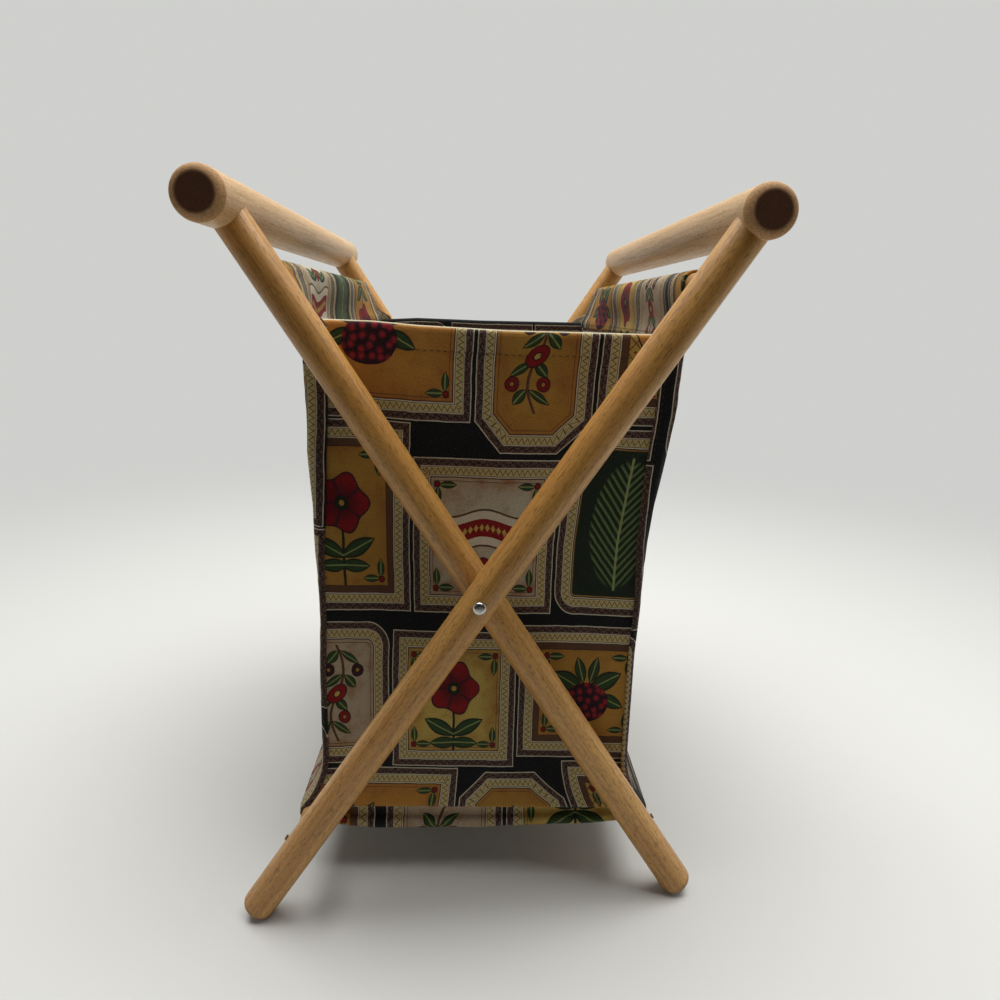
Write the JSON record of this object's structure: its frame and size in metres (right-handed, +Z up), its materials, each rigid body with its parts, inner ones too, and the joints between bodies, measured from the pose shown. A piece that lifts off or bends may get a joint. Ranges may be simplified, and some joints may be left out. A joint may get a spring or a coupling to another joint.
{
  "type": "folding sewing basket",
  "caption": "Standing sewing basket: crossed dowel frames that fold on rivets, with hand rails, a hanging printed cloth bag and a loose base board.",
  "frame": {"origin": "on the floor, centred between the four feet and under the pivot rivets", "axes": "+Z up, +Y along the hand rails, +X across the fold from the inner frame's rail to the outer frame's"},
  "size_m": [0.2454, 0.34, 0.3479],
  "materials": {
    "leg_wood": "clear-finished dowel, warm yellow tan, fine dark streaks",
    "rail_wood": "clear-finished thick dowel, paler, dark end grain",
    "board": "brown hardboard, smooth top",
    "printed_cloth": "printed cotton canvas, navy ground with gold and cream panels",
    "lining_cloth": "the same printed cotton, thinner",
    "rivet_metal": "nickel plated, domed and polished",
    "washer_metal": "zinc plated, dull"
  },
  "bodies": {
    "bag_bottom": {"bottom_panel": "printed_cloth", "lining": "lining_cloth"},
    "pivots": {"pivot_rivet_near": "rivet_metal", "pivot_rivet_far": "rivet_metal", "leg_spacer_near": "washer_metal", "leg_spacer_far": "washer_metal", "rivet_burr_near": "washer_metal", "rivet_burr_far": "washer_metal"},
    "outer_frame": {"rail_right": "rail_wood", "leg_outer_near": "leg_wood", "leg_outer_far": "leg_wood", "upper_rod_right": "leg_wood", "lower_rod_left": "leg_wood", "rod_brads_outer": "rivet_metal"},
    "inner_frame": {"rail_left": "rail_wood", "leg_inner_near": "leg_wood", "leg_inner_far": "leg_wood", "upper_rod_left": "leg_wood", "lower_rod_right": "leg_wood", "rod_brads_inner": "rivet_metal"},
    "bag_side_right": {"side_panel_right": "printed_cloth", "rod_sleeve_right": "printed_cloth"},
    "bag_side_left": {"side_panel_left": "printed_cloth", "rod_sleeve_left": "printed_cloth"},
    "bag_ends": {"end_panel_near": "printed_cloth", "end_panel_far": "printed_cloth"},
    "base_board": {"base_board": "board"}
  },
  "joints": [
    {"name": "fold", "type": "hinge", "parent": "pivots", "child": "outer_frame", "pos_m": [0, 0, 0.16746], "axis": [0, -1, 0], "range_deg": [0, 30.15], "deforming": ["side_panel_left", "side_panel_right", "end_panel_near", "end_panel_far", "bottom_panel", "lining"]},
    {"name": "fold_inner", "type": "hinge", "parent": "pivots", "child": "inner_frame", "pos_m": [0, 0, 0.16746], "axis": [0, 1, 0], "range_deg": [0, 30.15]},
    {"name": "pivot_rise", "type": "slide", "parent": "bag_bottom", "child": "pivots", "axis": [0, 0, 1], "range_m": [0, 0.02993]},
    {"name": "side_right_hang", "type": "hinge", "parent": "outer_frame", "child": "bag_side_right", "pos_m": [0.09386, 0, 0.3098], "axis": [0, 1, 0], "range_deg": [0, 28.52]},
    {"name": "side_left_hang", "type": "hinge", "parent": "inner_frame", "child": "bag_side_left", "pos_m": [-0.09386, 0, 0.3098], "axis": [0, -1, 0], "range_deg": [0, 28.52]},
    {"name": "rim_rise", "type": "slide", "parent": "pivots", "child": "bag_ends", "axis": [0, 0, 1], "range_m": [0, 0.02789]},
    {"name": "board_tip", "type": "hinge", "parent": "outer_frame", "child": "base_board", "pos_m": [-0.08368, 0, 0.04598], "axis": [0, -1, 0], "range_deg": [0, 57.86]}
  ],
  "couplings": [
    {"joint": "fold_inner", "follows": "fold", "ratio": 1},
    {"joint": "pivot_rise", "follows": "fold", "m_per_rad": 0.056856},
    {"joint": "side_right_hang", "follows": "fold", "ratio": 0.94554},
    {"joint": "side_left_hang", "follows": "fold", "ratio": 0.94554},
    {"joint": "rim_rise", "follows": "fold", "m_per_rad": 0.052987},
    {"joint": "board_tip", "follows": "fold", "ratio": 1.9186}
  ]
}
